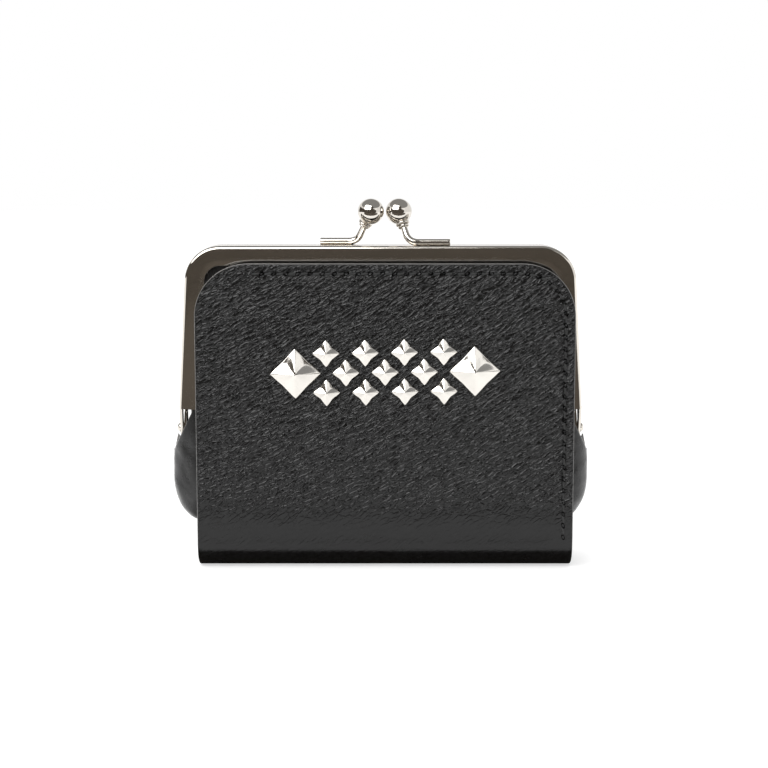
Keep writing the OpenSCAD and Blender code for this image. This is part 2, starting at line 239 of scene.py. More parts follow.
def fill(outline, pitch):
    """Points, triangles, outline loop and edge distances of a filled flat outline. Rows of
    points follow the edge, so that it can be rounded."""
    loop = resample(outline, min(pitch, 0.8))
    inward = inward_of(np.roll(loop, -1, 0) - np.roll(loop, 1, 0))
    sets = [loop]
    for r in FILL_RINGS:
        ring = loop + inward * r
        sets.append(ring[outline_distance(ring, loop) > 0.85 * r])
    low, high = loop.min(0), loop.max(0)
    counts = np.ceil((high - low) / pitch).astype(int)
    gu, gv = np.meshgrid(np.linspace(low[0], high[0], counts[0] + 1),
                         np.linspace(low[1], high[1], counts[1] + 1))
    gu = gu + np.where(np.arange(gu.shape[0]) % 2, pitch / 4, -pitch / 4)[:, None]
    grid = np.stack([gu.ravel(), gv.ravel()], 1)
    sets.append(grid[outline_distance(grid, loop) > FILL_RINGS[-1] + 0.45 * pitch])
    points = np.concatenate(sets)
    verts, _, faces, origin, _, _ = delaunay_2d_cdt(
        [Vector(p) for p in points], [], [list(range(len(loop)))], 1, 1e-5)
    place = {}
    for new, olds in enumerate(origin):
        for old in olds:
            place[old] = new
    points = np.array([tuple(v) for v in verts])
    ring0 = [place[k] for k in range(len(loop))]
    distance = np.maximum(outline_distance(points, loop), 0)
    distance[ring0] = 0
    return points, np.array(faces), ring0, distance


def leather(name, outline, surface, thickness, materials, pitch=1.2, edge_r=0.45,
            edge_band=0.3, relief=None, flip=False):
    """A sheet over a flat outline. surface(u, v) gives its outer points and the direction
    into its thickness; its cut edges are rounded and take the second material."""
    points, faces, loop, edge = fill(outline, pitch)
    outer, into = surface(points[:, 0], points[:, 1])
    r = min(edge_r, thickness / 2)
    drop = r - np.sqrt(np.maximum(r * r - (r - np.clip(edge, 0, r)) ** 2, 0))
    height = relief(points[:, 0], points[:, 1], edge) if relief else 0 * drop
    top = outer + into * (drop - height)[:, None]
    under = outer + into * (thickness - drop)[:, None]
    n = len(points)
    up, down = faces, faces[:, ::-1] + n
    rim = [(loop[k - 1], loop[k], loop[k] + n, loop[k - 1] + n) for k in range(len(loop))]
    if flip:
        up, down = up[:, ::-1], down[:, ::-1]
    else:
        rim = [f[::-1] for f in rim]
    all_faces = [*map(tuple, up), *map(tuple, down), *rim]
    at_edge = (edge[faces] < edge_band).all(1)
    face_material = [*at_edge.astype(int), *at_edge.astype(int), *([1] * len(rim))]
    uv = np.concatenate([points, points + [0, 200]]) / 100.0
    return new_mesh(name, np.concatenate([top, under]), all_faces, materials,
                    face_material, uv)


def profile_surface(path, side):
    """A surface swept along X over a path of (y, z) points; v is the length along it."""
    path = np.asarray(path, float)
    steps = np.linalg.norm(np.diff(path, axis=0), axis=1)
    path = path[np.concatenate([[True], steps > 1e-6])]
    s = np.concatenate([[0], np.cumsum(np.linalg.norm(np.diff(path, axis=0), axis=1))])
    ty, tz = np.gradient(path[:, 0], s), np.gradient(path[:, 1], s)
    size = np.hypot(ty, tz)
    ty, tz = ty / size, tz / size

    def surface(u, v):
        y, z = np.interp(v, s, path[:, 0]), np.interp(v, s, path[:, 1])
        a, b = np.interp(v, s, ty), np.interp(v, s, tz)
        size = np.hypot(a, b)
        return (np.stack([u, y, z], 1),
                np.stack([0 * u, -side * b / size, side * a / size], 1))

    return surface, s[-1]


def height_surface(height, side):
    """A surface y = height(x, z), seen from the front (side -1) or the back (side 1)."""

    def surface(x, z):
        d = 0.02
        fx = (height(x + d, z) - height(x - d, z)) / (2 * d)
        fz = (height(x, z + d) - height(x, z - d)) / (2 * d)
        size = np.sqrt(1 + fx * fx + fz * fz)
        into = np.stack([fx, -np.ones_like(fx), fz], 1) * side / size[:, None]
        return np.stack([x, height(x, z), z], 1), into

    return surface


def tube(path, radii, sides=32):
    """A round tube along a path of points, closed at both ends."""
    path = np.asarray(path, float)
    tangent = np.gradient(path, axis=0)
    tangent /= np.linalg.norm(tangent, axis=1)[:, None]
    normal = np.cross(tangent[0], [0.3, 1.0, 0.2])
    points = []
    for p, t, r in zip(path, tangent, radii):
        normal = normal - t * (normal @ t)
        normal /= np.linalg.norm(normal)
        other = np.cross(t, normal)
        a = np.linspace(0, 2 * math.pi, sides, endpoint=False)[:, None]
        points.append(p + r * (np.cos(a) * normal + np.sin(a) * other))
    return np.concatenate(points), ring_faces(len(path), sides)


def lathe(profile, origin, axis, sides=48):
    """A turned solid: profile is (distance along the axis, radius)."""
    axis = np.asarray(axis, float) / np.linalg.norm(axis)
    path = [np.asarray(origin, float) + axis * h for h, _ in profile]
    across = np.cross(axis, [0.31, 0.87, 0.11])
    across /= np.linalg.norm(across)
    other = np.cross(axis, across)
    a = np.linspace(0, 2 * math.pi, sides, endpoint=False)[:, None]
    points = np.concatenate([p + max(r, 1e-3) * (np.cos(a) * across + np.sin(a) * other)
                             for p, (_, r) in zip(path, profile)])
    return points, ring_faces(len(profile), sides)


def joined(parts):
    """Several (points, faces) as one."""
    points, faces, base = [], [], 0
    for p, f in parts:
        points.append(np.asarray(p, float))
        faces.extend(tuple(k + base for k in face) for face in f)
        base += len(p)
    return np.concatenate(points), faces


# ---- materials ----


class Nodes:
    """A small builder for one material. A value may be another node's output."""

    def __init__(self, name):
        self.material = bpy.data.materials.new(name)
        self.material.use_nodes = True
        self.tree = self.material.node_tree
        self.shader = self.tree.nodes["Principled BSDF"]

    def put(self, socket, value):
        if isinstance(value, bpy.types.NodeSocket):
            self.tree.links.new(value, socket)
        else:
            socket.default_value = value

    def set(self, node, **values):
        """Sets a node's settings, and its inputs by name with _ for a space."""
        for key, value in values.items():
            if hasattr(node, key):
                setattr(node, key, value)
            else:
                self.put(node.inputs[key.replace("_", " ")], value)
        return node

    def look(self, **values):
        """Sets the shader's inputs and gives the finished material."""
        self.set(self.shader, **values)
        return self.material

    def add(self, kind, output=0, **values):
        """A new node's output."""
        return self.set(self.tree.nodes.new(kind), **values).outputs[output]

    def math(self, operation, *values, kind="ShaderNodeMath"):
        node = self.set(self.tree.nodes.new(kind), operation=operation)
        for socket, value in zip(node.inputs, values):
            self.put(socket, value)
        return node.outputs[0]

    def ramp(self, source, stops):
        node = self.tree.nodes.new("ShaderNodeValToRGB")
        self.put(node.inputs[0], source)
        elements = node.color_ramp.elements
        while len(elements) < len(stops):
            elements.new(0.5)
        for element, (place, colour) in zip(elements, stops):
            element.position = place
            element.color = (*colour, 1) if len(colour) == 3 else (colour[0],) * 3 + (1,)
        return node.outputs[0]

    def bump(self, height, distance, Strength=1.0, **values):
        return self.add("ShaderNodeBump", Strength=Strength, Distance=distance, Height=height,
                        **values)


def leather_material(name, dark, light, cell, depth, rough, turn, stretch=1.5, calm=None,
                     specular=0.5, sheen=0.0):
    """Grained leather: cells of about cell mm along the turn, with creases between them, by UV,
    and a colour that goes darker in the creases as painted shade. The grain fades in between
    the two UV heights of calm."""
    n = Nodes(name)
    uv = n.add("ShaderNodeUVMap", uv_map="grain")
    turned = n.add("ShaderNodeMapping", vector_type="TEXTURE", Vector=uv,
                   Rotation=(0, 0, math.radians(turn)), Scale=(1.0, 1 / stretch, 1.0))
    wobble = n.add("ShaderNodeTexNoise", "Color", Vector=turned, Scale=60.0 / cell, Detail=2.0)
    spread = n.add("ShaderNodeVectorMath", operation="SCALE", Vector=wobble, Scale=0.009 * cell)
    bent = n.math("ADD", turned, spread, kind="ShaderNodeVectorMath")

    def cells(size):
        return n.add("ShaderNodeTexVoronoi", "Distance", feature="DISTANCE_TO_EDGE",
                     Vector=bent, Scale=100.0 / size)

    large = n.ramp(cells(cell), [(0.0, (0.0,)), (0.14, (0.75,)), (0.4, (1.0,))])
    small = n.ramp(cells(cell * 0.55), [(0.0, (0.0,)), (0.16, (0.8,)), (0.4, (1.0,))])
    swell = n.add("ShaderNodeTexNoise", Vector=turned, Scale=100.0 / (cell * 2.2), Detail=2.0)
    height = n.math("ADD", n.math("MULTIPLY", large, swell), n.math("MULTIPLY", small, 0.2))
    height = n.math("ADD", height, n.math("MULTIPLY", swell, 0.8))
    if calm:
        fade = n.add("ShaderNodeMapRange", interpolation_type="SMOOTHSTEP",
                     Value=n.add("ShaderNodeSeparateXYZ", "Y", Vector=uv),
                     From_Min=calm[0], From_Max=calm[1], To_Min=0.12)
        height = n.math("MULTIPLY", height, fade)
    return n.look(Normal=n.bump(height, depth),
                  # the base colour is darker where the cells meet: painted shade in the creases
                  Base_Color=n.ramp(large, [(0.0, dark), (0.7, light)]),
                  Roughness=n.ramp(swell, [(0.3, (rough[1],)), (0.7, (rough[0],))]),
                  Specular_IOR_Level=specular, Sheen_Weight=sheen, Sheen_Roughness=0.4)


def edge_material(name, colour):
    """A cut and rubbed leather edge, with fine fibres."""
    n = Nodes(name)
    fibre = n.add("ShaderNodeTexNoise", Vector=n.add("ShaderNodeTexCoord", "Object"),
                  Scale=2600.0, Detail=4.0)
    return n.look(Base_Color=n.ramp(fibre, [(0.3, [0.55 * c for c in colour]), (0.7, colour)]),
                  Normal=n.bump(fibre, 0.00006), Roughness=0.45)


def metal_material(name, colour, rough=0.07):
    """Polished nickel plate with a faint unevenness and fine scratches."""
    n = Nodes(name)
    place = n.add("ShaderNodeTexCoord", "Object")
    uneven = n.add("ShaderNodeTexNoise", Vector=place, Scale=160.0, Detail=2.0)
    drawn = n.add("ShaderNodeMapping", Vector=place, Scale=(1.0, 9.0, 5.0))
    scratch = n.add("ShaderNodeTexNoise", Vector=drawn, Scale=900.0, Detail=5.0)
    soft = n.bump(uneven, 0.00004, Strength=0.6)
    shaded = [0.92 * c for c in colour]
    return n.look(Base_Color=n.ramp(uneven, [(0.25, shaded), (0.75, colour)]),
                  Roughness=n.ramp(scratch, [(0.35, (rough * 0.6,)), (0.75, (rough * 1.9,))]),
                  Normal=n.bump(scratch, 0.0000012, Normal=soft), Metallic=1.0)


def woven_material(name, dark, light, thread=0.35, turn=45.0):
    """Twill cloth: slanting ridges of crossed threads, by UV."""
    n = Nodes(name)
    turned = n.add("ShaderNodeMapping", Vector=n.add("ShaderNodeUVMap", uv_map="grain"),
                   Rotation=(0, 0, math.radians(turn)))

    def wave(direction, size):
        return n.add("ShaderNodeTexWave", "Fac", bands_direction=direction, Vector=turned,
                     Scale=100 / size / 6.28, Distortion=0.6, Detail=1.0)

    height = n.math("ADD", n.math("MULTIPLY", wave("X", thread), 0.7),
                    n.math("MULTIPLY", wave("Y", thread * 0.7), 0.3))
    return n.look(Base_Color=n.ramp(height, [(0.2, dark), (0.8, light)]),
                  Normal=n.bump(height, 0.00008), Roughness=0.85, Sheen_Weight=0.25)


def fibre_material(name, dark, light, scale, rough, depth, specular=0.5):
    """Twisted paper or thread: streaks with a fibrous bump."""
    n = Nodes(name)
    streak = n.add("ShaderNodeTexWave", "Fac", Vector=n.add("ShaderNodeTexCoord", "Object"),
                   Scale=scale, Distortion=2.5, Detail=3.0)
    return n.look(Base_Color=n.ramp(streak, [(0.2, dark), (0.8, light)]),
                  Normal=n.bump(streak, depth), Roughness=rough, Specular_IOR_Level=specular)


OUTER = leather_material("outer_leather", (0.0006, 0.0006, 0.00063), (0.003, 0.003, 0.0031),
                         cell=2.7, depth=0.00032, rough=(0.2, 0.28), turn=37, stretch=2.2,
                         calm=(0.20, 0.33), specular=0.42)
PURSE = leather_material("purse_leather", (0.002, 0.002, 0.002), (0.005, 0.005, 0.0051),
                         cell=1.2, depth=0.00003, rough=(0.25, 0.33), turn=80, sheen=1.0)
LINING = leather_material("lining_leather", (0.006, 0.006, 0.0065), (0.019, 0.019, 0.02),
                          cell=1.0, depth=0.00005, rough=(0.5, 0.62), turn=10)
EDGE = edge_material("cut_edge", (0.16, 0.155, 0.15))
DARK_EDGE = edge_material("dark_cut_edge", (0.05, 0.05, 0.05))
NICKEL = metal_material("polished_nickel", (0.72, 0.68, 0.62))
STUD_NICKEL = metal_material("stud_nickel", (0.80, 0.77, 0.72), rough=0.12)
TWILL = woven_material("coin_twill", (0.006, 0.006, 0.006), (0.03, 0.03, 0.03))
PAPER = fibre_material("twisted_paper", (0.32, 0.24, 0.14), (0.62, 0.5, 0.33), 900, 0.9, 0.0001)
# the thread's grey is partly its own colour and partly a painted highlight, lifted well above
# the leather's black
THREAD_WITH_HIGHLIGHT = fibre_material("waxed_thread", (0.01, 0.01, 0.01), (0.035, 0.035, 0.035),
                        1800, 0.5, 0.00005)
# near black and without any specular: painted shade standing for the depth of each needle hole
HOLE_SHADE = fibre_material("needle_hole_shade", (0.0008, 0.0008, 0.0008), (0.0015, 0.0015, 0.0015),
                      600, 0.95, 0.00002, specular=0.0)


# ---- the covers ----


def cover_outline(inset_left, inset, length):
    """A sheet's outline across X and along its length, with its far corners rounded."""
    left = COVER_X - COVER_HALF + inset_left
    right = COVER_X + COVER_HALF - inset
    return [(left, 0), (right, 0),
            *arc(right - COVER_R, length - COVER_R, COVER_R, 0, 90),
            *arc(left + COVER_R, length - COVER_R, COVER_R, 90, 180)]


def fold_path(side, depth):
    """The leather's way from the base round one bend, at a depth."""
    turn = arc(side * FLAT_Y, FOLD_R, FOLD_R - depth, -90, -180 if side < 0 else 0, 0.2)
    return [(BASE_START_Y, depth), *turn]


def straight(path, end, step=0.5):
    """The path with a straight stretch to an end added."""
    y, z = path[-1]
    n = max(2, int(math.hypot(end[0] - y, end[1] - z) / step))
    return path + [(y + (end[0] - y) * k / n, z + (end[1] - z) * k / n)
                   for k in range(1, n + 1)]


def back_path(depth, upper_y, top):
    """The back cover: up from the rear bend, along the long curve and to the frame."""
    path = straight(fold_path(BACK, depth), (BACK_Y - depth, BACK_CURVE_Z))
    r = BACK_CURVE_R - depth
    bend = math.degrees(math.asin((BACK_BEND_LOW - BACK_CURVE_Z) / r))
    path += arc(BACK_Y - BACK_CURVE_R, BACK_CURVE_Z, r, 0, bend, 0.4)
    y0, z0 = path[-1]
    slope, h = -math.tan(math.radians(bend)), UPPER_Z - z0
    n = 30
    for k in range(1, n + 1):
        t = k / n
        path.append((y0 * (2 * t**3 - 3 * t**2 + 1) + slope * h * (t**3 - 2 * t**2 + t)
                     + upper_y * (3 * t**2 - 2 * t**3), z0 + h * t))
    return straight(path, (upper_y, top))


# Studs and seam, in the cover's own plane about its middle
STUD_Z = 53.0
STUD_TILT = math.radians(0.8)
STUD_PITCH_X, STUD_PITCH_Z = 10.3, 5.2
SMALL_TIP, SMALL_H = 3.6, 1.8
LARGE_TIP, LARGE_H = 6.75, 3.0
LARGE_X = 23.6


def stud_places():
    """(x, z, tip, height) of every stud."""
    places = []
    for row, count in ((-1, 4), (0, 3), (1, 4)):
        for i in range(count):
            places.append(((i - (count - 1) / 2) * STUD_PITCH_X, row * STUD_PITCH_Z,
                           SMALL_TIP, SMALL_H))
    places += [(side * LARGE_X, 0, LARGE_TIP, LARGE_H) for side in (-1, 1)]
    c, s = math.cos(STUD_TILT), math.sin(STUD_TILT)
    return [(COVER_X + x * c - z * s, STUD_Z + x * s + z * c, tip, h)
            for x, z, tip, h in places]


SEAM_INSET = 2.6
SEAM_PITCH = 3.15
SEAM_R = COVER_R - SEAM_INSET
SEAM_CX = COVER_X + COVER_HALF - COVER_R
SEAM_CZ = COVER_TOP - COVER_R
SEAM_START_X = COVER_X - 35.3
SEAM_TOP = SEAM_CX - SEAM_START_X
SEAM_TURN = SEAM_R * math.pi / 2
SEAM_LENGTH = SEAM_TOP + SEAM_TURN + SEAM_CZ - FOLD_R - 2.0


def seam_point(s):
    """(x, z, angle) at a distance along the seam; the angle is 0 on the top edge."""
    a = min(math.pi / 2, max(0.0, (s - SEAM_TOP) / SEAM_R))
    return (min(s, SEAM_TOP) + SEAM_START_X + SEAM_R * math.sin(a),
            SEAM_CZ + SEAM_R * math.cos(a) - max(0.0, s - SEAM_TOP - SEAM_TURN), a)


front_path = straight(fold_path(FRONT, 0), (COVER_FRONT_Y, COVER_TOP))
front_surface, front_length = profile_surface(front_path, FRONT)
Z_TO_S = front_length - COVER_TOP
seam_line = np.array([seam_point(s)[:2] for s in np.arange(0, SEAM_LENGTH, 0.5)])


CREASE_TURN = math.radians(38)


def front_relief(u, v, edge):
    """Soft swells, slanting creases, the sunk seam and the dents round the studs."""
    z = v - Z_TO_S
    c, s = math.cos(CREASE_TURN), math.sin(CREASE_TURN)
    along, across = u * c + z * s, -u * s + z * c
    middle = smoothstep(z, 12, 28) * (1 - 0.5 * smoothstep(z, 64, 78))
    h = 0.14 * fractal(along / 2.2, across, 9.0, 11)
    h -= 0.3 * bell(z, 7, 4.5)
    h += 0.11 * fractal(along / 2.4, across, 3.0, 41, 1) * middle
    near = np.full(len(u), 99.0)
    for k in range(0, len(u), 4000):
        p = np.stack([u[k:k + 4000], z[k:k + 4000]], 1)
        near[k:k + 4000] = np.sqrt(((p[:, None] - seam_line) ** 2).sum(2)).min(1)
    h *= 1 - bell(near, 0, 1.6)
    h -= 0.12 * bell(near, 0, 0.8)
    h += 0.10 * bell(near, 1.9, 0.8)
    for x, y, tip, _ in stud_places():
        d = np.abs(u - x) + np.abs(z - y)
        h -= 0.18 * bell(np.maximum(d, tip), tip, 0.8)
    return np.minimum(h, 0.35) * smoothstep(edge, 0.2, 1.5) * smoothstep(z, 1.0, 10.0)


FRONT_BEND = row_frame((0, -FLAT_Y, 0)), row_frame((0, COVER_FRONT_Y, FOLD_R))
BACK_BEND = row_frame((0, 0, BACK_BEND_LOW)), row_frame((0, 0, BACK_BEND_HIGH))
front_cover = leather("front_cover", cover_outline(0, 0, front_length), front_surface,
                      LEATHER_T, [OUTER, EDGE], pitch=0.75, relief=front_relief)
settle(front_cover, "outer_leather", "cover", "cover_leather", "outer_fold", bend=FRONT_BEND)

back_surface, back_length = profile_surface(back_path(0, UPPER_Y, COVER_TOP), BACK)


def back_relief(u, v, edge):
    return (0.16 * fractal(u, v, 9.0, 71) + 0.07 * fractal(u, v / 2, 2.4, 83, 2)) \
        * smoothstep(edge, 0.2, 1.5) * smoothstep(v, 10.0, 18.0)


back_cover = leather("back_cover", cover_outline(0, 0, back_length), back_surface,
                     LEATHER_T, [OUTER, EDGE], pitch=1.0, relief=back_relief, flip=True)
settle(back_cover, "outer_leather", "back_half", "back_cover_upper", "outer_fold",
       bend=BACK_BEND)

# The lining behind the front leather lies 1 mm off it and closes up at the seam
lining_path = straight(fold_path(FRONT, LINING_DEPTH),
                       (COVER_FRONT_Y + LINING_DEPTH, COVER_TOP))
lining_flat, lining_length = profile_surface(lining_path, FRONT)
POCKET_GAP = LINING_DEPTH - LEATHER_T


def lining_surface(u, v):
    points, into = lining_flat(u, v)
    z = points[:, 2]
    right = COVER_X + COVER_HALF - u
    corner = np.hypot(np.maximum(COVER_R - right, 0), np.maximum(z - SEAM_CZ, 0))
    gap = np.where((right < COVER_R) & (z > SEAM_CZ), COVER_R - corner,
                   np.minimum(right, COVER_TOP - z))
    closed = (1 - smoothstep(gap, 2.2, 7.5)) * smoothstep(z, 6.0, 16.0)
    points[:, 1] -= (POCKET_GAP - 0.05) * closed
    return points, into


front_lining = leather("front_lining", cover_outline(1, 0.1, lining_length),
                       lining_surface, LINING_T, [LINING, DARK_EDGE], edge_r=0.25)
settle(front_lining, "lining_leather", "cover", "bill_pocket_panel", "fold_lining",
       bend=FRONT_BEND)

back_lining_surface, back_lining_length = profile_surface(
    back_path(LINING_DEPTH, UPPER_Y - LEATHER_T, COVER_TOP - 0.1), BACK)
back_lining = leather("back_lining", cover_outline(1, 0.1, back_lining_length),
                      back_lining_surface, LINING_T, [LINING, DARK_EDGE], edge_r=0.25,
                      flip=True)
settle(back_lining, "lining_leather", "back_half", "back_lining_upper", "fold_lining",
       bend=BACK_BEND)

# Three card slots, one behind the other, each with a pressed line along its mouth
SLOT_R = COVER_R - 3.0
SLOT_T = LINING_T - 0.04
for node in ("card_slot_rear", "card_slot_middle", "card_slot_front"):
    low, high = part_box(node)
    mouth = low.x / MM
    outer_y = low.y / MM - Y_SHIFT + 0.02

    def slot_height(x, z, y0=outer_y, mouth=mouth):
        return y0 + 0.10 * bell(x, mouth, 6.0) * bell(z, 43, 26.0)

    def slot_relief(u, v, edge, mouth=mouth):
        return -0.12 * bell(u - mouth, 2.0, 0.35) * smoothstep(edge, 0.3, 1.0)

    right, top, bottom = high.x / MM, high.z / MM, low.z / MM
    shape = [(mouth, bottom), (right, bottom),
             *arc(right - SLOT_R, top - SLOT_R, SLOT_R, 0, 90), (mouth, top)]
    if mouth < COVER_X - COVER_HALF + COVER_R:
        shape[-1:] = [(mouth + 1.5, top), (mouth, top - 0.8)]

    def slot_surface(x, z, height=slot_height):
        # the pocket is seen from the back, so its outer side is the one at +y
        points, into = height_surface(height, BACK)(x, z)
        points[:, 1] += SLOT_T
        return points, into

    card_slot = leather(node.replace("card_slot", "card_pocket"), shape, slot_surface, SLOT_T,
                        [LINING, DARK_EDGE], edge_r=0.25, relief=slot_relief, flip=True)
    settle(card_slot, "lining_leather", "cover", node)


# ---- coin purse ----


def bag_depth(x, z):
    """Distance inwards from the bag's outline, which runs straight up at the sides."""
    qx = (np.abs(x) - (BAG_HALF - BAG_CORNER_X)) / BAG_CORNER_X
    qz = (BAG_LOW + BAG_CORNER_Z - z) / BAG_CORNER_Z
    outside = np.hypot(np.maximum(qx, 0), np.maximum(qz, 0))
    return BAG_CORNER_X * (1 - outside - np.minimum(np.maximum(qx, qz), 0))


def bag_corner(inset, start, end):
    """Points round the bag's lower right corner, set in from its edge."""
    a, b = BAG_CORNER_X - inset, BAG_CORNER_Z - inset
    return [(BAG_HALF - BAG_CORNER_X + a * math.cos(t),
             BAG_LOW + BAG_CORNER_Z + b * math.sin(t))
            for t in np.radians(np.linspace(start, end, 30))]


BAG_ROUND = 8.5
FRONT_WALL_Y = -4.2


def rounding(d):
    """How far a wall has come out from the seam, 0 to 1, at a distance from it."""
    t = 1 - np.clip(d / BAG_ROUND, 0, 1)
    return (1 - t**2.3) ** (1 / 2.0)


def wrinkles(x, z, seed):
    """Soft folds that run along the outline and fade towards the middle."""
    d = np.maximum(bag_depth(x, z), 0)
    away = bell(d, 3.0, 3.2) * (1 - smoothstep(z, 30, 38))
    along = z + 0.35 * x
    folds = fractal(d + 0.9 * np.sin(0.35 * along + np.sign(x)), along / 3.2, 2.6, seed, 2)
    pleats = fractal(d / 3.0, along + 0.8 * d, 3.4, seed + 7, 2)
    return (0.6 * folds + 0.5 * pleats) * away


def front_wall_y(x, z):
    level = FRONT_WALL_Y - 0.75 * bell(z, 26, 11.0) * np.exp(-((x / 44.0) ** 4))
    y = SEAM_Y + (level - SEAM_Y) * rounding(bag_depth(x, z))
    return y - wrinkles(x, z, 5) * (1 - smoothstep(z, 34, 39))


BACK_WALL_Y = 4.2
back_wall_path = np.array(back_path(LINING_DEPTH + LINING_T, BACK_WALL_Y, 84.0))
back_wall_path = back_wall_path[back_wall_path[:, 1] > FOLD_R]


def back_wall_y(x, z):
    level = np.interp(z, back_wall_path[:, 1], back_wall_path[:, 0])
    y = SEAM_Y + (level - SEAM_Y) * rounding(bag_depth(x, z))
    return y + 0.6 * wrinkles(x, z, 17)


def groove_side():
    """The right edge of a wall inside the channel, from the leg's end to the top."""
    r = FRAME_R - GROOVE_INSET
    side_x, side_z = SHOULDER_X + r * math.cos(SPLAY), SHOULDER_Z + r * math.sin(SPLAY)
    foot_z = LEG_LOW + 1.6
    return [(side_x + (side_z - foot_z) * math.tan(SPLAY), foot_z), (side_x, side_z),
            *arc(SHOULDER_X, SHOULDER_Z, r, 4, 90)]


def bag_outline(slit, inset=0.15):
    right = [*bag_corner(inset, -90, 0), (BAG_HALF - inset, 28.0), *slit, *groove_side()]
    return right + [(-x, z) for x, z in right[::-1]]


FRONT_SLIT = [(56.1, 30.4), (55.6, 31.8), (50.8, 41.0), (50.2, 42.8)]
BACK_SLIT = [(56.0, 31.6), (55.4, 34.4), (54.4, 32.6), (53.2, 32.4), (52.2, 33.6),
             (51.7, 36.0), (51.6, 40.0), (51.6, 43.2)]


def bag_relief(u, v, edge):
    """Soft folds that follow the bag's edge, deepest at the lower corners."""
    d = np.maximum(bag_depth(u, v), 0)
    low = 1 - smoothstep(v, 26, 36)
    folds = fractal(d + 0.12 * v, v / 4.5 + np.sign(u) * 3, 1.9, 51, 2)
    return 0.34 * folds * low * bell(d, 3.5, 4.0) * smoothstep(edge, 0.2, 1.2)


purse_front = leather("purse_front", bag_outline(FRONT_SLIT),
                      height_surface(front_wall_y, FRONT), LEATHER_T, [PURSE, EDGE],
                      pitch=0.7, edge_band=0.25, relief=bag_relief)
settle(purse_front, "purse_leather", "purse", "purse_front_wall")

purse_back = leather("purse_back", bag_outline(BACK_SLIT),
                     height_surface(back_wall_y, BACK), LEATHER_T, [PURSE, EDGE],
                     pitch=1.0, flip=True, edge_band=0.25)
settle(purse_back, "purse_leather", "back_half", "purse_back_lower", "purse_back_upper",
       bend=BACK_BEND)


def strip(path, across, thickness):
    """A thin band along a path of (x, z) points, running from y across[0] to across[1]."""
    inward = inward_of(np.gradient(path, axis=0))
    low, high = across
    middle = (low + high) / 2
    section = [(low, 0.5), (low + 0.3, 0.15), (middle, 0.0), (high - 0.3, 0.15), (high, 0.5),
               (high - 0.2, thickness + 0.2), (middle, thickness), (low + 0.2, thickness + 0.2)]
    points = [(x + nx * d, y, z + nz * d) for (x, z), (nx, nz) in zip(path, inward)
              for y, d in section]
    return np.array(points), ring_faces(len(path), len(section))


GUSSET_TOP = 30.5
GUSSET_INSET = 0.35
gusset_x = BAG_HALF - GUSSET_INSET
gusset_right = [*bag_corner(GUSSET_INSET, -90, 0), (gusset_x, 28.2), (gusset_x, GUSSET_TOP)]
gusset_base = np.linspace(-BAG_HALF + BAG_CORNER_X, BAG_HALF - BAG_CORNER_X, 42)[1:-1]
gusset_path = np.array([*[(-x, z) for x, z in gusset_right[::-1]],
                        *[(x, BAG_LOW + GUSSET_INSET) for x in gusset_base], *gusset_right])
points, faces = strip(gusset_path, (SEAM_Y - 1.5, SEAM_Y + 1.5), 1.2)
gusset = new_mesh("purse_gusset_strip", points, faces, [PURSE],
                  uv=np.stack([np.arange(len(points)) / 400, points[:, 1] / 100], 1))
settle(gusset, "purse_leather", "purse", "purse_gusset")

COIN_T = 0.4


def coin_lining(name, wall_y, side, slit):
    """Twill that follows the inside of a wall."""
    base = height_surface(wall_y, side)

    def surface(x, z):
        points, into = base(x, z)
        return points + into * (LEATHER_T + 0.06), into

    outline = [(x * 0.965, z if z > 30 else z + 1.9) for x, z in bag_outline(slit, 1.2)]
    return leather(name, outline, surface, COIN_T, [TWILL, TWILL], pitch=1.6, edge_r=0.15,
                   flip=side > 0)


coin_front = coin_lining("coin_lining_front_cloth", front_wall_y, FRONT, FRONT_SLIT)
settle(coin_front, "coin_lining", "purse", "coin_lining_front")
coin_back = coin_lining("coin_lining_back_cloth", back_wall_y, BACK, BACK_SLIT)
settle(coin_back, "coin_lining", "back_half", "coin_lining_back_lower",
       "coin_lining_back_upper", bend=BACK_BEND)


# ---- frame ----


def arch_path():
    """Points (x, z) and inward directions along the frame's outer edge, left to right."""
    out = []
    side_x = SHOULDER_X + FRAME_R * math.cos(SPLAY)
    side_z = SHOULDER_Z + FRAME_R * math.sin(SPLAY)
    foot_x = side_x + (side_z - LEG_LOW) * math.tan(SPLAY)
    for t in np.linspace(0, 1, 24, endpoint=False):
        out.append((foot_x + (side_x - foot_x) * t, LEG_LOW + (side_z - LEG_LOW) * t,
                    -math.cos(SPLAY), -math.sin(SPLAY)))
    for a in np.radians(np.linspace(math.degrees(SPLAY), 90, 28)):
        out.append((SHOULDER_X + FRAME_R * math.cos(a), SHOULDER_Z + FRAME_R * math.sin(a),
                    -math.cos(a), -math.sin(a)))
    across = [(x, FRAME_TOP, 0.0, -1.0) for x in np.linspace(SHOULDER_X, -SHOULDER_X, 40)[1:-1]]
    left = [(-x, z, -nx, nz) for x, z, nx, nz in out[::-1]]
    return out + across + left


def rounded_section(corners, radii):
    """A closed section of corner points, each rounded by its radius."""
    out = []
    n = len(corners)
    for k in range(n):
        p, q, s = (np.array(corners[(k + j) % n], float) for j in (-1, 0, 1))
        a, b = (p - q) / np.linalg.norm(p - q), (s - q) / np.linalg.norm(s - q)
        r = radii[k]
        half = math.acos(max(-1, min(1, a @ b))) / 2
        centre = q + (a + b) / np.linalg.norm(a + b) * r / math.sin(half)
        start, end = q + a * r / math.tan(half) - centre, q + b * r / math.tan(half) - centre
        for t in np.linspace(0, 1, 6):
            v = start * (1 - t) + end * t
            out.append(tuple(centre + v / np.linalg.norm(v) * r))
    return out


def sweep(section, path):
    """A section of (distance inwards, y) swept along an arch path."""
    points = [(x + nx * d, y, z + nz * d) for x, z, nx, nz in path for d, y in section]
    return np.array(points), ring_faces(len(path), len(section))


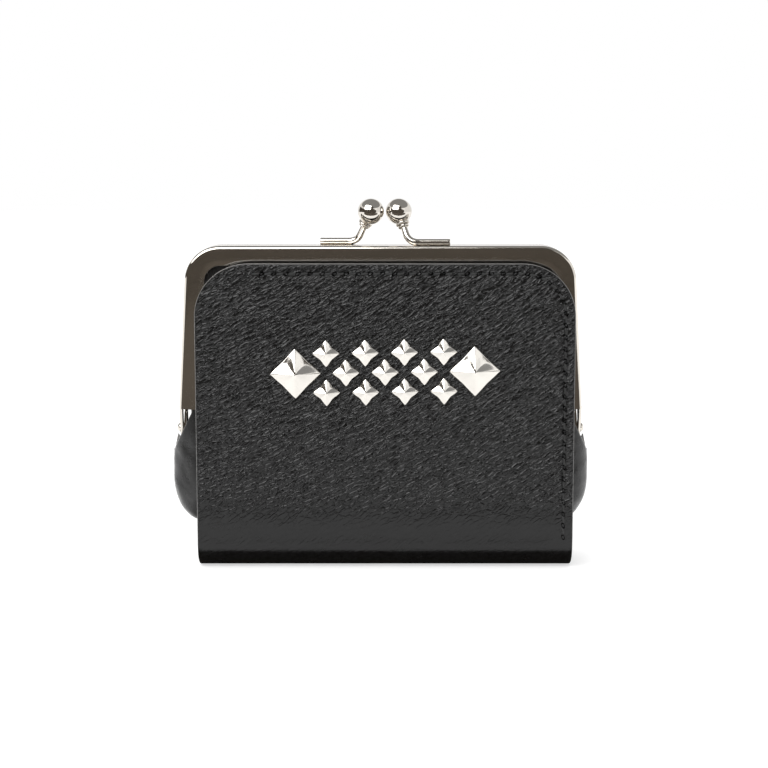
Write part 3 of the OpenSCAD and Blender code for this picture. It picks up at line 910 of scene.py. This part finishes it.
def plate(outline, side, x0, x1, bevel=0.12):
    """A flat plate in Y and Z between x0 and x1 out to a side, its edges bevelled."""
    x0, x1 = sorted((side * x0, side * x1))
    loop = np.asarray(outline, float)
    inward = inward_of(np.roll(loop, -1, 0) - np.roll(loop, 1, 0))
    rings = [(x0, bevel), (x0 + bevel, 0), (x1 - bevel, 0), (x1, bevel)]
    points = [(x, y, z) for x, d in rings for y, z in loop + inward * d]
    return np.array(points), ring_faces(len(rings), len(loop))


EAR_R = 2.6
EAR_GAP = 0.1
MEET_GAP = 0.06
GROOVE_Y = 0.9


def crisp(obj, degrees):
    """Keeps the edges that are sharper than an angle from being shaded smooth."""
    obj.modifiers.new("crisp", "EDGE_SPLIT").split_angle = math.radians(degrees)


def ear_outline(half):
    top = LEG_LOW + 0.8
    shape = [(half * (FRAME_D - 0.4), top), (half * 0.3, top), (half * 0.3, LEG_LOW - 0.6)]
    return [*arc(0, HINGE_Z, EAR_R, 180, 360), *shape[::half]]


def frame_half(name, half, node, body):
    """Half of the frame: a channel bent to an arch, with an ear at each end."""
    near, far = half * MEET_GAP, half * FRAME_D
    groove, wall = half * GROOVE_Y, half * (FRAME_D - FRAME_T)
    corners = [(0.0, near), (0.0, far), (FRAME_FACE, far), (FRAME_FACE, wall),
               (FRAME_T, wall), (FRAME_T, groove), (FRAME_FACE, groove), (FRAME_FACE, near)]
    section = rounded_section(corners, [0.2, 0.9, 0.15, 0.2, 0.2, 0.1, 0.2, 0.3])
    if half > 0:
        section = section[::-1]
    parts = [sweep(section, arch_path())]
    outside = EAR_X if half == FRONT else EAR_X - FRAME_T - EAR_GAP
    for side in (-1, 1):
        parts.append(plate(ear_outline(half), side, outside - FRAME_T, outside))
        if half == BACK:
            # the step between this ear, which lies inside the other, and its leg
            step = [(0.9, LEG_LOW), (4.2, LEG_LOW), (4.2, LEG_LOW + 2.6), (0.9, LEG_LOW + 2.6)]
            parts.append(plate(step, side, outside - FRAME_T, outside + 0.4))
    obj = new_mesh(name, *joined(parts), [NICKEL])
    crisp(obj, 50)
    settle(obj, "frame_metal", body, node)


def packing(name, half, node, body):
    """The twisted paper that wedges the leather in the channel."""
    path = [place for place in arch_path() if place[1] > LEG_LOW + 3.0]
    low, high = sorted((half * 0.95, half * 2.25))
    end = GROOVE_INSET + 2
    section = rounded_section([(GROOVE_INSET, low), (GROOVE_INSET, high), (end, high),
                               (end, low)], [0.4] * 4)
    obj = new_mesh(name, *sweep(section[::-1], path), [PAPER])
    settle(obj, "packing_paper", body, node)


frame_half("clasp_frame_front", FRONT, "front_frame", "purse")
frame_half("clasp_frame_back", BACK, "back_frame", "back_half")
packing("packing_cord_front", FRONT, "front_packing_cord", "purse")
packing("packing_cord_back", BACK, "back_packing_cord", "back_half")

RIVET_TAIL_X = EAR_X - 2 * FRAME_T - EAR_GAP
RIVET_TAIL = [(-0.5, 0.5), (-0.46, 1.0), (-0.3, 1.2), (-0.06, 1.2), (-0.05, 0.8)]
RIVET_HEAD = [(0, 0.8), (0, 1.2), (0.15, 1.28), (0.45, 1.2), (0.75, 0.98), (0.95, 0.68),
              (1.08, 0.3), (1.1, 0.02)]
for side, node in ((-1, "rivet_left"), (1, "rivet_right")):
    profile = [(RIVET_TAIL_X + h, r) for h, r in RIVET_TAIL]
    profile += [(EAR_X + h, r) for h, r in RIVET_HEAD]
    rivet = new_mesh("hinge_" + node, *lathe(profile, (0, 0, HINGE_Z), (side, 0, 0)), [NICKEL])
    crisp(rivet, 60)
    settle(rivet, "frame_metal", "purse", node)


# ---- clasp ----

ROD_R = 0.9
BALL_R = 3.5
BALL_Z = 94.6
BALL_PITCH = 7.4
CLASP_X = 1.15
FOOT_Y = 3.0
BALL_LEAN = 0.4
ARM_REACH = 13.6
ARM_BEND_R = 3.0
FOOT_Z = FRAME_TOP + ROD_R - 0.05
RISE = math.hypot(BALL_Z - FOOT_Z, FOOT_Y + BALL_LEAN)
LEAN = math.atan2(FOOT_Y + BALL_LEAN, BALL_Z - FOOT_Z)


def clasp(half, arm_node, ball_node, body):
    """An arm with its two rings, and its ball."""
    neck = math.radians(73 if half == FRONT else 67)
    length = (RISE - ARM_BEND_R * (1 - math.cos(neck))) / math.sin(neck)
    start = length * math.cos(neck) + ARM_BEND_R * math.sin(neck)

    def finish(name, shape, node):
        """Turns a shape about the foot to its place; the back one is mirrored."""
        points, faces = shape
        x, y, z = np.asarray(points, float).T
        c, s = math.cos(half * LEAN), math.sin(half * LEAN)
        points = np.stack([-half * x + CLASP_X - half * BALL_PITCH / 2,
                           y * c - z * s + half * FOOT_Y, y * s + z * c + FOOT_Z], 1)
        obj = new_mesh(name + body, points, [f[::-half] for f in faces], [NICKEL])
        settle(obj, "frame_metal", body, node)

    line = [(ARM_REACH - t, 0, 0) for t in [0, 0.1, *np.linspace(0.6, ARM_REACH - start, 12)]]
    radii = [ROD_R * 0.86] + [ROD_R] * 13
    for a in np.linspace(0, neck, 16)[1:]:
        line.append((start - ARM_BEND_R * math.sin(a), 0, ARM_BEND_R * (1 - math.cos(a))))
        radii.append(ROD_R + 0.04)
    x, _, z = line[-1]
    for t in np.linspace(0, 1, 8)[1:]:
        line.append((x * (1 - t), 0, z + (RISE - z) * t))
        radii.append(ROD_R)
    line, radii = line[:-2], radii[:-2]
    away = np.array([math.cos(neck), 0, -math.sin(neck)])
    rings = []
    for offset, r, thick in ((0.35, 1.9, 0.42), (1.15, 1.5, 0.38)):
        turned = [(-thick, r * 0.5), (-thick * 0.95, r - thick * 0.8)]
        turned += [(thick * math.sin(a), r - thick + thick * math.cos(a))
                   for a in np.linspace(-1.2, 1.2, 9)]
        turned += [(thick * 0.95, r - thick * 0.8), (thick, r * 0.5)]
        origin = np.array([0, 0, RISE]) + away * (BALL_R * 0.92 + offset)
        rings.append(lathe(turned, origin, away))
    finish("clasp_arm_", joined([tube(line, radii), *rings]), arm_node)
    globe = [(-BALL_R * math.cos(a), BALL_R * math.sin(a))
             for a in np.linspace(0.001, math.pi - 0.001, 48)]
    finish("clasp_ball_", lathe(globe, (0, 0, RISE), -away, sides=96), ball_node)


clasp(FRONT, "front_clasp_arm", "front_clasp_ball", "purse")
clasp(BACK, "back_clasp_arm", "back_clasp_ball", "back_half")


# ---- studs and stitches ----

SKIRT = 0.5
STUD_SINK = 0.12


def stud(x, z, tip, height):
    """A four-sided pyramid with hollow sides and crisp, slightly soft ridges."""
    offsets = [0, 1.5, 4, 8, 14, 22, 30, 38, 45, 52, 60, 68, 76, 82, 86, 88.5]
    angles = np.radians([90 * k + a for k in range(4) for a in offsets])
    fold = np.abs((np.degrees(angles) + 45) % 90 - 45)
    middle = smoothstep(fold, 0, 45)
    waist = 0.62 if tip < LARGE_TIP else 0.68
    # between the tips the outline is a hollow curve through the waist
    line = 1 / (np.cos(np.radians(fold)) + np.sin(np.radians(fold)))
    radius = tip * (line - (0.7071 - waist) * middle) - 0.06 * (fold < 1)
    points = []
    c, s = math.cos(STUD_TILT), math.sin(STUD_TILT)
    rings = (1.04, 1.0, 0.985, 0.95, 0.88, 0.78, 0.66, 0.54, 0.42, 0.3, 0.2, 0.12, 0.06, 0.02)
    for t in rings:
        slope = (1 - min(t, 1)) ** (1 + 0.28 * middle)
        top = SKIRT + (height - SKIRT) * slope - 0.05 * height * math.exp(-(t / 0.07) ** 2)
        if t > 1:
            top = 0 * top - STUD_SINK
        elif t == 1.0:
            top = 0 * top + SKIRT * 0.72
        r = radius * min(t, 1.0)
        a, b = r * np.cos(angles), r * np.sin(angles)
        points.append(np.stack([x + a * c - b * s, COVER_FRONT_Y - top, z + a * s + b * c], 1))
    return np.concatenate(points), ring_faces(len(rings), len(angles), first_cap=False)


places = stud_places()
for name, chosen, node in (("pyramid_studs_small", places[:-2], "small_studs"),
                           ("pyramid_studs_large", places[-2:], "large_studs")):
    studs = new_mesh(name, *joined([stud(*p) for p in chosen]), [STUD_NICKEL])
    crisp(studs, 60)
    settle(studs, "stud_metal", "cover", node)

THREAD_R = 0.3
HOLE_SIDES = 14


def hole(x, z, a, long_half, wide_half):
    """A needle hole in near black, as painted shade: a shallow dish on a short post that is
    sunk in the leather.
    """
    c, d = math.cos(a), math.sin(a)
    ring = []
    for q in np.linspace(0, 2 * math.pi, HOLE_SIDES, endpoint=False):
        along = long_half * math.copysign(abs(math.cos(q)) ** 0.7, math.cos(q))
        up = wide_half * math.copysign(abs(math.sin(q)) ** 0.7, math.sin(q)) + 0.22 * along
        ring.append((x + along * c + up * d, z - along * d + up * c))
    points = [(px, COVER_FRONT_Y - 0.14, pz) for px, pz in ring]
    points += [(x + (px - x) * 0.6, COVER_FRONT_Y + 0.14, z + (pz - z) * 0.6)
               for px, pz in ring]
    points += [(px, COVER_FRONT_Y + 0.6, pz) for px, pz in ring]
    faces, n = [], HOLE_SIDES
    for j in range(n):
        k = (j + 1) % n
        faces += [(j, k, k + n, j + n)[::-1], (j, k, k + 2 * n, j + 2 * n)]
    return np.array(points), faces + [tuple(range(n, 2 * n)), tuple(range(2 * n, 3 * n))[::-1]]


thread_parts, hole_parts = [], []
for k, s in enumerate(np.arange(SEAM_PITCH / 2, SEAM_LENGTH, SEAM_PITCH)):
    line, radii = [], []
    for t in np.linspace(-1, 1, 11):
        x, z, a = seam_point(s + t * 1.2)
        dip = 0.12 + 0.5 * abs(t) ** 5
        slant = 0.12 * t
        line.append((x + slant * math.sin(a), COVER_FRONT_Y + dip, z + slant * math.cos(a)))
        radii.append(THREAD_R * (1 - 0.25 * abs(t) ** 3))
    thread_parts.append(tube(line, radii, sides=10))
    x, z, a = seam_point(s + SEAM_PITCH / 2)
    hole_parts.append(hole(x, z, a, 0.70 + 0.06 * math.sin(3.1 * k), 0.40))
threads, holes = joined(thread_parts), joined(hole_parts)
stitching = new_mesh("seam_stitches", *joined([threads, holes]), [THREAD_WITH_HIGHLIGHT, HOLE_SHADE],
                     [0] * len(threads[1]) + [1] * len(holes[1]))
settle(stitching, "thread", "cover", "cover_stitching")


# ---- floor, light and the camera ----


RAYS = ("camera", "diffuse", "glossy", "transmission", "volume_scatter", "shadow")


def stage_mesh(name, points, faces, material, ways, matrix=Matrix()):
    """Part of the studio, met only by these kinds of ray."""
    mesh = bpy.data.meshes.new(name)
    mesh.from_pydata(points, [], faces)
    mesh.materials.append(material)
    obj = bpy.data.objects.new(name, mesh)
    bpy.context.scene.collection.objects.link(obj)
    obj.matrix_world = matrix
    for way in RAYS:
        setattr(obj, "visible_" + way, way in ways)
    obj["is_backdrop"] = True


def card(name, size, matrix, material, ways=("glossy",)):
    """A flat card, which unless told otherwise shows only in reflections."""
    x, y = size[0] / 2, size[1] / 2
    points = [(-x, -y, 0), (x, -y, 0), (x, y, 0), (-x, y, 0)]
    stage_mesh(name, points, [(0, 1, 2, 3)], material, ways, matrix)


def studio_wall(name, radius, start, end, low, high, material, ways, steps=48):
    """Part of an upright ring about the object; angles run from the front to the right."""
    angles = np.radians(np.linspace(start, end, steps + 1))
    points = [(radius * math.sin(a), -radius * math.cos(a), z) for a in angles
              for z in (low, high)]
    faces = [(2 * k, 2 * k + 2, 2 * k + 3, 2 * k + 1) for k in range(steps)]
    stage_mesh(name, points, faces, material, ways)


def facing(place, target):
    """A matrix at place whose -Z looks at the target."""
    place, target = Vector(place), Vector(target)
    turn = (target - place).to_track_quat("-Z", "Y").to_matrix().to_4x4()
    return Matrix.Translation(place) @ turn


def plain(name, colour, glow, rough=1.0, specular=0.0):
    return Nodes(name).look(Base_Color=(*colour, 1), Roughness=rough,
                            Specular_IOR_Level=specular, Emission_Color=(1, 1, 1, 1),
                            Emission_Strength=glow)


MIDDLE = Vector((0, Y_SHIFT * MM, 0.05))
BLACK = (0.0, 0.0, 0.0)
FLOOR = plain("studio_floor", (0.5, 0.5, 0.5), 0.58, rough=0.9, specular=0.1)
WHITE = plain("white_card", BLACK, 1.0)
DARK = plain("dark_card", (0.068, 0.059, 0.05), 0.0)
LOW_CARD = plain("low_card", BLACK, 1.3)
LIT_CARD = plain("lit_card", BLACK, 1.2)
card("studio_floor", (6, 6), Matrix.Translation((0, 0, -0.00005)), FLOOR, RAYS)
studio_wall("backdrop", 2.5, -180, 180, -0.01, 1.6, WHITE, ("camera", "glossy", "diffuse"), 96)
studio_wall("dark_room", 0.9, -125, 48, -0.01, 0.48, DARK, ("glossy", "diffuse"))
for name, start, end in (("low_card_left", -125, -62), ("low_card_right", 62, 125)):
    studio_wall(name, 0.3, start, end, 0.0, 0.085, LOW_CARD, ("glossy",))
card("dark_table_end", (1.3, 0.75), Matrix.Translation((-0.2, -0.14 - 0.375, 0.0002)), DARK)
card("contact_shade", (0.12, 0.030), Matrix.Translation((0.0, 0.0005, 0.00015)), DARK)
card("dark_card", (0.30, 0.42), facing((0.16, -0.68, 0.56), MIDDLE), DARK)
card("right_card", (0.34, 0.22), facing((0.60, -0.56, 0.44), MIDDLE), LIT_CARD)


def light(name, kind, place, target, power):
    data = bpy.data.lights.new(name, kind)
    data.energy = power
    obj = bpy.data.objects.new(name, data)
    bpy.context.scene.collection.objects.link(obj)
    obj.matrix_world = facing(place, target)
    return obj


def area_light(name, place, size, power):
    obj = light(name, "AREA", place, MIDDLE, power)
    obj.data.shape = "RECTANGLE"
    obj.data.size, obj.data.size_y = size
    return obj


def sun_light(name, place, strength, spread):
    """Even light for the wide floor."""
    obj = light(name, "SUN", place, (0, 0, 0), strength)
    obj.data.angle = math.radians(spread)
    return obj


area_light("key_softbox", (-0.35, -0.55, 0.62), (0.8, 0.6), 7.0)
for unseen in (area_light("top_softbox", (0.05, 0.10, 0.85), (0.7, 0.5), 1.2),
               sun_light("floor_light_left", (-0.6, -0.1, 0.8), 0.8, 50),
               sun_light("floor_light_top", (0.1, 0.5, 1.0), 0.9, 60)):
    unseen.visible_glossy = False

world = bpy.data.worlds.new("studio")
world.use_nodes = True
sky = world.node_tree.nodes["Background"]
sky.inputs["Color"].default_value = (1, 1, 1, 1)
sky.inputs["Strength"].default_value = 0.3
bpy.context.scene.world = world
bpy.context.scene.view_settings.view_transform = "Standard"

CAMERA_DISTANCE = 0.45
ELEVATION = math.radians(8)
FOCUS = Vector((0.00093, (COVER_FRONT_Y + Y_SHIFT) * MM, 0.0499))
camera_data = bpy.data.cameras.new("camera")
camera_data.lens = 80.2
camera_data.sensor_width = 36.0
camera_data.clip_start, camera_data.clip_end = 0.01, 20.0
camera = bpy.data.objects.new("camera", camera_data)
bpy.context.scene.collection.objects.link(camera)
spot = FOCUS + Vector((0, -math.cos(ELEVATION), math.sin(ELEVATION))) * CAMERA_DISTANCE
camera.matrix_world = facing(spot, FOCUS)
bpy.context.scene.camera = camera

low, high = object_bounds()
